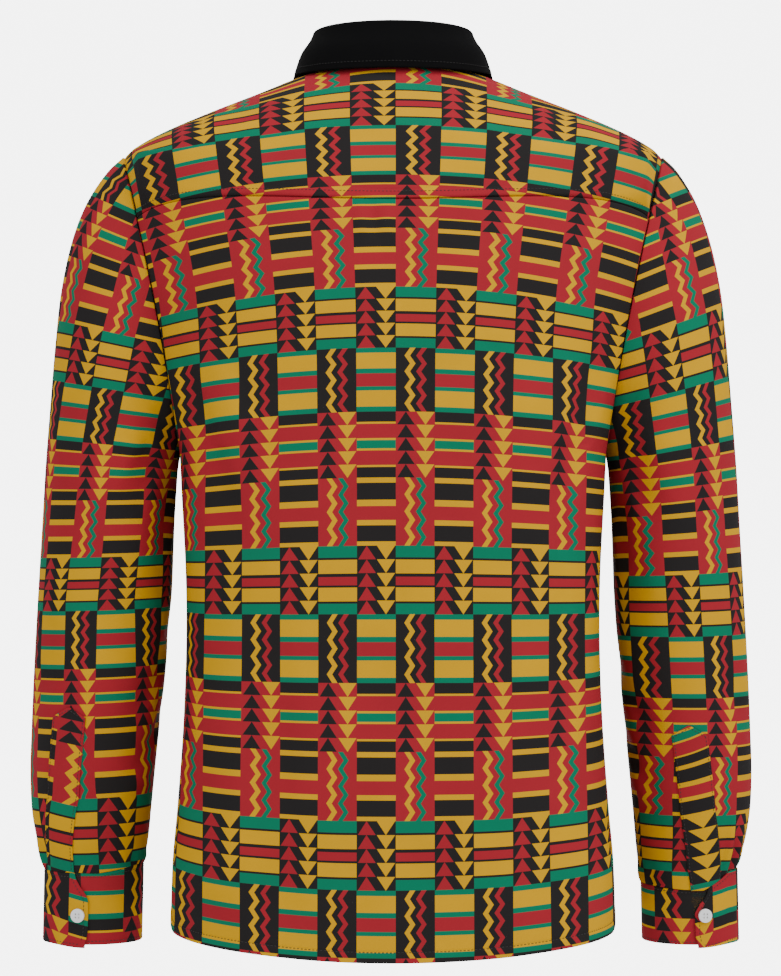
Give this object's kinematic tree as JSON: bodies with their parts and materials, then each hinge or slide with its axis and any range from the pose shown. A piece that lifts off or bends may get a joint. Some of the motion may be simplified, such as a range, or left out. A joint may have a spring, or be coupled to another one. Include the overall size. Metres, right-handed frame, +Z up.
{
  "type": "kente print long-sleeved shirt",
  "caption": "Long-sleeved button shirt in kente print with a black collar, filled out and hollow, worn on the upper body.",
  "frame": {"origin": "middle of the neck's base, level with the shoulder line beside the collar", "axes": "+Z up the wearer's back, the front faces -Y, +X to the wearer's left"},
  "size_m": [0.6092, 0.2569, 0.7682],
  "materials": {
    "kente_print": "smooth matt cloth printed with a kente repeat in yellow, red, green and black",
    "collar_black": "matt black cloth",
    "button_white": "glossy white"
  },
  "bodies": {
    "root": {"back": "kente_print", "yoke": "kente_print", "front_left": "kente_print", "front_right": "kente_print", "front_placket": "kente_print", "sleeve_left": "kente_print", "sleeve_right": "kente_print", "sleeve_placket_left": "kente_print", "sleeve_placket_right": "kente_print", "cuff_left": "kente_print", "cuff_right": "kente_print", "collar_stand": "collar_black", "collar_fall": "collar_black", "stand_button": "button_white", "cuff_button_left": "button_white", "cuff_button_right": "button_white", "front_button_1": "button_white", "front_button_2": "button_white", "front_button_3": "button_white", "front_button_4": "button_white", "front_button_5": "button_white", "front_button_6": "button_white", "front_button_7": "button_white"}
  },
  "joints": []
}
